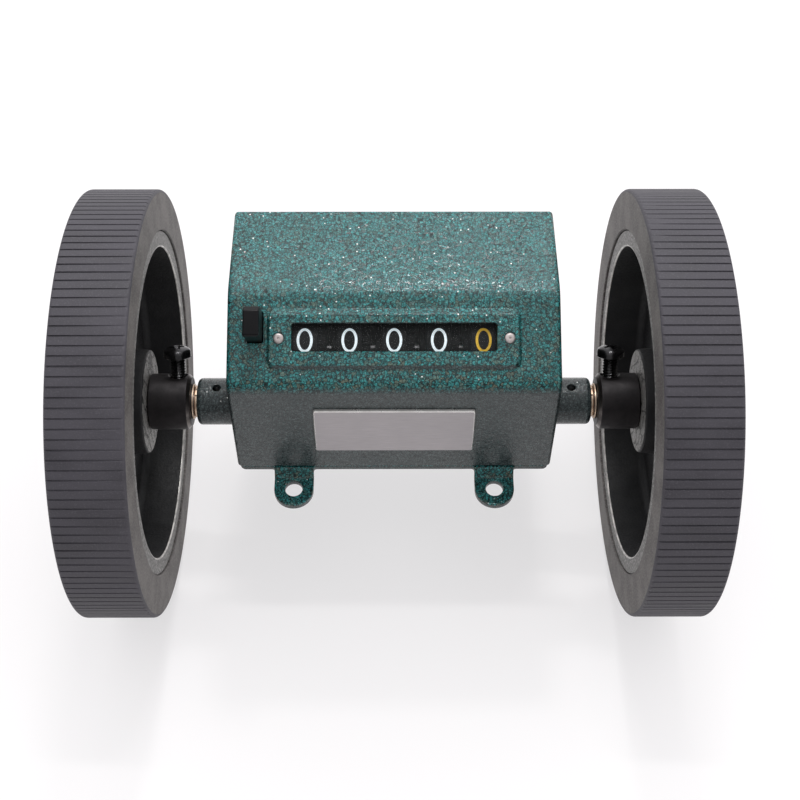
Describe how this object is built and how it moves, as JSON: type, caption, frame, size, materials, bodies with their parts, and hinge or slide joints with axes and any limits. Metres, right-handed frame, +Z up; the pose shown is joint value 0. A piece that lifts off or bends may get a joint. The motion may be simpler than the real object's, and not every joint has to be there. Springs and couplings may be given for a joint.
{
  "type": "roller length counter",
  "caption": "Mechanical length counter on two rubber-tyred measuring wheels, with a green cast housing, a drum counter behind a window, a reset key and screw-down feet.",
  "frame": {"origin": "on the axis of the through shaft, midway between the two wheels, which is the centre of the bounding box", "axes": "+X along the shaft to the right of somebody reading the counter, +Y away from them, +Z up"},
  "size_m": [0.1502, 0.1062, 0.1062],
  "materials": {
    "housing_paint": "green hammertone enamel, glossy",
    "tyre_rubber": "matt, finely grooved across the tread",
    "hub_black": "cast, black, satin",
    "black_steel": "turned, blackened",
    "bright_steel": "turned, zinc bright",
    "bronze": "sintered bronze, oiled",
    "brass": "cut brass",
    "aluminium_plate": "satin sheet",
    "frame_sheet": "pressed zinc-plated sheet",
    "drum_black": "moulded, satin",
    "key_black": "moulded",
    "acetal_white": "moulded",
    "clear_pane": "clear sheet",
    "spring_wire": "music wire"
  },
  "bodies": {
    "housing": {"housing_shell": "housing_paint", "base_plate": "housing_paint", "base_screw_1": "bright_steel", "base_screw_2": "bright_steel", "base_screw_3": "bright_steel", "base_screw_4": "bright_steel", "nameplate": "aluminium_plate", "window_pane": "clear_pane", "window_rivet_left": "bright_steel", "window_rivet_right": "bright_steel", "bush_left": "bronze", "bush_right": "bronze", "counter_frame_left": "frame_sheet", "counter_frame_right": "frame_sheet", "frame_screw_left": "bright_steel", "frame_screw_right": "bright_steel", "drum_shaft": "bright_steel", "transfer_rod": "bright_steel", "drum_shaft_clip_left": "bright_steel", "drum_shaft_clip_right": "bright_steel", "transfer_rod_clip_left": "bright_steel", "transfer_rod_clip_right": "bright_steel", "reset_rod": "bright_steel", "reset_rod_clip_left": "bright_steel", "reset_rod_clip_right": "bright_steel", "drum_spacer_left": "brass", "drum_spacer_right": "brass", "spring_peg": "bright_steel", "reset_spring": "spring_wire"},
    "axle": {"main_shaft": "bright_steel", "drive_gear": "brass", "drive_gear_pin": "bright_steel", "thrust_washer_left": "bronze", "thrust_washer_right": "bronze", "collar_left": "black_steel", "collar_right": "black_steel", "collar_screw_left": "black_steel", "collar_screw_right": "black_steel", "wheel_hub_left": "hub_black", "wheel_hub_right": "hub_black", "tyre_left": "tyre_rubber", "tyre_right": "tyre_rubber"},
    "idler": {"idler_gear": "acetal_white"},
    "drum_1": {"digit_drum_1": "drum_black"},
    "drum_2": {"digit_drum_2": "drum_black"},
    "drum_3": {"digit_drum_3": "drum_black"},
    "drum_4": {"digit_drum_4": "drum_black"},
    "drum_5": {"digit_drum_5": "drum_black", "drum_input_gear": "brass"},
    "pinion_1": {"transfer_pinion_1": "acetal_white"},
    "pinion_2": {"transfer_pinion_2": "acetal_white"},
    "pinion_3": {"transfer_pinion_3": "acetal_white"},
    "pinion_4": {"transfer_pinion_4": "acetal_white"},
    "key": {"reset_key": "key_black"},
    "reset_yoke": {"reset_lever": "black_steel"}
  },
  "joints": [
    {"name": "axle_spin", "type": "hinge", "parent": "housing", "child": "axle", "pos_m": [0, 0, 0], "axis": [1, 0, 0], "continuous": true},
    {"name": "idler_spin", "type": "hinge", "parent": "housing", "child": "idler", "pos_m": [0, 0.01509, 0.00397], "axis": [1, 0, 0], "continuous": true},
    {"name": "drum_5_spin", "type": "hinge", "parent": "housing", "child": "drum_5", "pos_m": [0, 0.00662, 0.01383], "axis": [1, 0, 0], "continuous": true},
    {"name": "drum_4_spin", "type": "hinge", "parent": "housing", "child": "drum_4", "pos_m": [0, 0.00662, 0.01383], "axis": [1, 0, 0], "continuous": true},
    {"name": "drum_3_spin", "type": "hinge", "parent": "housing", "child": "drum_3", "pos_m": [0, 0.00662, 0.01383], "axis": [1, 0, 0], "continuous": true},
    {"name": "drum_2_spin", "type": "hinge", "parent": "housing", "child": "drum_2", "pos_m": [0, 0.00662, 0.01383], "axis": [1, 0, 0], "continuous": true},
    {"name": "drum_1_spin", "type": "hinge", "parent": "housing", "child": "drum_1", "pos_m": [0, 0.00662, 0.01383], "axis": [1, 0, 0], "continuous": true},
    {"name": "pinion_4_spin", "type": "hinge", "parent": "housing", "child": "pinion_4", "pos_m": [0, 0.01509, 0.00397], "axis": [1, 0, 0], "continuous": true},
    {"name": "pinion_3_spin", "type": "hinge", "parent": "housing", "child": "pinion_3", "pos_m": [0, 0.01509, 0.00397], "axis": [1, 0, 0], "continuous": true},
    {"name": "pinion_2_spin", "type": "hinge", "parent": "housing", "child": "pinion_2", "pos_m": [0, 0.01509, 0.00397], "axis": [1, 0, 0], "continuous": true},
    {"name": "pinion_1_spin", "type": "hinge", "parent": "housing", "child": "pinion_1", "pos_m": [0, 0.01509, 0.00397], "axis": [1, 0, 0], "continuous": true},
    {"name": "key_press", "type": "slide", "parent": "housing", "child": "key", "axis": [0, 0.4839, -0.8751], "range_m": [0, 0.0024], "stiffness_N_per_m": 300, "springref_m": -0.002},
    {"name": "reset_turn", "type": "hinge", "parent": "housing", "child": "reset_yoke", "pos_m": [0, 0.0255, 0.0125], "axis": [1, 0, 0], "range_deg": [0, 11], "deforming": ["reset_spring"]}
  ],
  "couplings": [
    {"joint": "idler_spin", "follows": "axle_spin", "ratio": -0.5},
    {"joint": "drum_5_spin", "follows": "axle_spin", "ratio": 0.33333},
    {"joint": "drum_4_spin", "follows": "axle_spin", "ratio": 0.033333},
    {"joint": "drum_3_spin", "follows": "axle_spin", "ratio": 0.0033333},
    {"joint": "drum_2_spin", "follows": "axle_spin", "ratio": 0.00033333},
    {"joint": "drum_1_spin", "follows": "axle_spin", "ratio": 0.000033333},
    {"joint": "pinion_4_spin", "follows": "axle_spin", "ratio": -0.083333},
    {"joint": "pinion_3_spin", "follows": "axle_spin", "ratio": -0.0083333},
    {"joint": "pinion_2_spin", "follows": "axle_spin", "ratio": -0.00083333},
    {"joint": "pinion_1_spin", "follows": "axle_spin", "ratio": -0.000083333},
    {"joint": "reset_turn", "follows": "key_press", "rad_per_m": 77.037}
  ]
}
